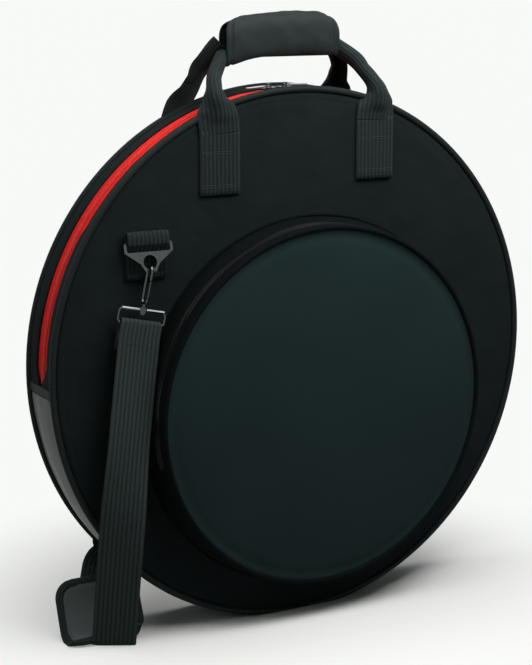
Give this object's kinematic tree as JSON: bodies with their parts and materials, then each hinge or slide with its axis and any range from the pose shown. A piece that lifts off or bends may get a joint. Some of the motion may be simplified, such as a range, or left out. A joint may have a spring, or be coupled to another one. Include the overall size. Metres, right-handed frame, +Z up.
{
  "type": "cymbal bag",
  "caption": "Round padded cymbal bag with a zipped front pocket, a wrapped webbing carry handle, a clip-on shoulder strap with a pad, and a zip over its upper half.",
  "frame": {"origin": "middle of the flat strip of gusset that the bag stands on, on the floor, midway between the two round panels", "axes": "+X to the right as seen from the pocket side, +Y from the pocket side towards the back, +Z up"},
  "size_m": [0.6, 0.1544, 0.673],
  "materials": {
    "body_fabric": "matte woven polyester, near black",
    "gusset_leatherette": "satin embossed leatherette",
    "pocket_leatherette": "satin smooth leatherette",
    "webbing": "ribbed polypropylene webbing",
    "piping": "satin binding over cord",
    "zip_red": "matte red zip tape",
    "zip_black": "black zip tape and coil",
    "nickel": "bright nickel plating",
    "gunmetal": "black nickel plating",
    "hook_and_loop": "matte hook-and-loop pile"
  },
  "bodies": {
    "bag": {"front_panel": "body_fabric", "back_panel_lower": "body_fabric", "gusset_lower": "gusset_leatherette", "gusset_front_strip": "body_fabric", "zipper_tape_front": "zip_red", "zipper_coil_front": "zip_red", "zip_end_binding_left": "body_fabric", "zip_end_binding_right": "body_fabric", "front_rim_piping": "piping", "back_rim_piping_lower": "piping", "pocket_wall_rear": "body_fabric", "pocket_wall_lower_front": "body_fabric", "pocket_zip_rear": "zip_black", "pocket_face_lower": "pocket_leatherette", "pocket_piping_lower": "piping", "front_handle_tab_left": "webbing", "front_handle_tab_right": "webbing", "front_handle_leg_left": "webbing", "front_handle_leg_right": "webbing", "back_handle_leg_left_upper": "webbing", "back_handle_leg_right_upper": "webbing", "front_ring_tab": "webbing", "strap_front_run": "webbing", "strap_back_lower": "webbing", "shoulder_pad": "pocket_leatherette"},
    "back_flap": {"back_panel_upper": "body_fabric", "gusset_back_strip": "body_fabric", "zipper_tape_back": "zip_red", "zipper_coil_back": "zip_red", "back_rim_piping_upper": "piping", "back_handle_tab_left": "webbing", "back_handle_tab_right": "webbing", "back_handle_leg_left_lower": "webbing", "back_handle_leg_right_lower": "webbing", "back_ring_tab": "webbing", "strap_back_upper": "webbing"},
    "left_slider": {"left_slider_body": "nickel"},
    "right_slider": {"right_slider_body": "nickel"},
    "left_pull": {"left_slider_pull": "nickel"},
    "right_pull": {"right_slider_pull": "nickel"},
    "pocket_lid": {"pocket_face_upper": "pocket_leatherette", "pocket_piping_upper": "piping", "pocket_lid_band": "body_fabric", "pocket_zip_front": "zip_black"},
    "pocket_slider": {"pocket_slider_body": "gunmetal"},
    "pocket_pull": {"pocket_slider_pull": "gunmetal"},
    "handle": {"grip_core": "webbing", "grip_wrap": "body_fabric", "grip_loop_strip": "hook_and_loop"},
    "grip_cover": {"grip_flap": "body_fabric", "grip_hook_strip": "hook_and_loop"},
    "front_hanger": {"front_ring": "gunmetal", "front_strap_loop": "gunmetal"},
    "front_hook_body": {"front_hook": "gunmetal"},
    "front_gate_body": {"front_gate": "nickel"},
    "back_hanger": {"back_ring": "gunmetal", "back_strap_loop": "gunmetal"},
    "back_hook_body": {"back_hook": "gunmetal"},
    "back_gate_body": {"back_gate": "nickel"}
  },
  "joints": [
    {"name": "mouth_open", "type": "hinge", "parent": "bag", "child": "back_flap", "pos_m": [0, 0.034, 0.29529], "axis": [-1, 0, 0], "range_deg": [0, 12], "deforming": ["back_handle_leg_left_lower", "back_handle_leg_right_lower", "strap_back_lower"]},
    {"name": "left_slider_run", "type": "hinge", "parent": "bag", "child": "left_slider", "pos_m": [0, 0, 0.29529], "axis": [0, -1, 0], "range_deg": [0, 82]},
    {"name": "right_slider_run", "type": "hinge", "parent": "bag", "child": "right_slider", "pos_m": [0, 0, 0.29529], "axis": [0, 1, 0], "range_deg": [0, 86]},
    {"name": "left_pull_turn", "type": "hinge", "parent": "left_slider", "child": "left_pull", "pos_m": [-0.02403, -0.0033, 0.59392], "axis": [0, 1, 0], "range_deg": [0, 100]},
    {"name": "right_pull_turn", "type": "hinge", "parent": "right_slider", "child": "right_pull", "pos_m": [-0.00418, -0.0033, 0.59486], "axis": [0, -1, 0], "range_deg": [0, 100]},
    {"name": "pocket_open", "type": "hinge", "parent": "bag", "child": "pocket_lid", "pos_m": [0.012, -0.0818, 0.19375], "axis": [1, 0, 0], "range_deg": [0, 45]},
    {"name": "pocket_slider_run", "type": "hinge", "parent": "bag", "child": "pocket_slider", "pos_m": [0.012, 0, 0.245], "axis": [0, -1, 0], "range_deg": [0, 188]},
    {"name": "pocket_pull_turn", "type": "hinge", "parent": "pocket_slider", "child": "pocket_pull", "pos_m": [0.22003, -0.05634, 0.2341], "axis": [0, -1, 0], "range_deg": [0, 100]},
    {"name": "handle_tilt", "type": "hinge", "parent": "bag", "child": "handle", "pos_m": [-0.004, 0, 0.58829], "axis": [-1, 0, 0], "range_deg": [-25, 25], "deforming": ["front_handle_leg_left", "front_handle_leg_right", "back_handle_leg_left_upper", "back_handle_leg_right_upper"]},
    {"name": "grip_cover_open", "type": "hinge", "parent": "handle", "child": "grip_cover", "pos_m": [-0.004, -0.009, 0.623], "axis": [1, 0, 0], "range_deg": [0, 100]},
    {"name": "front_ring_swing", "type": "hinge", "parent": "bag", "child": "front_hanger", "pos_m": [-0.1895, -0.0403, 0.4385], "axis": [-1, 0, 0], "range_deg": [0, 60], "deforming": ["strap_front_run"]},
    {"name": "front_hook_swivel", "type": "hinge", "parent": "front_hanger", "child": "front_hook_body", "pos_m": [-0.1895, -0.04825, 0.41432], "axis": [-0.2149, 0, -0.9766], "range_deg": [-20, 20]},
    {"name": "front_gate_open", "type": "hinge", "parent": "front_hook_body", "child": "front_gate_body", "pos_m": [-0.19655, -0.05385, 0.38228], "axis": [-1, 0, 0], "range_deg": [0, 15], "stiffness_Nm_per_rad": 0.01, "springref_deg": -28.65},
    {"name": "back_ring_swing", "type": "hinge", "parent": "back_flap", "child": "back_hanger", "pos_m": [-0.1895, 0.0403, 0.4385], "axis": [1, 0, 0], "range_deg": [0, 60], "deforming": ["strap_back_upper"]},
    {"name": "back_hook_swivel", "type": "hinge", "parent": "back_hanger", "child": "back_hook_body", "pos_m": [-0.1895, 0.04825, 0.41432], "axis": [-0.2149, 0, -0.9766], "range_deg": [-20, 20]},
    {"name": "back_gate_open", "type": "hinge", "parent": "back_hook_body", "child": "back_gate_body", "pos_m": [-0.19655, 0.05385, 0.38228], "axis": [1, 0, 0], "range_deg": [0, 15], "stiffness_Nm_per_rad": 0.01, "springref_deg": -28.65}
  ]
}
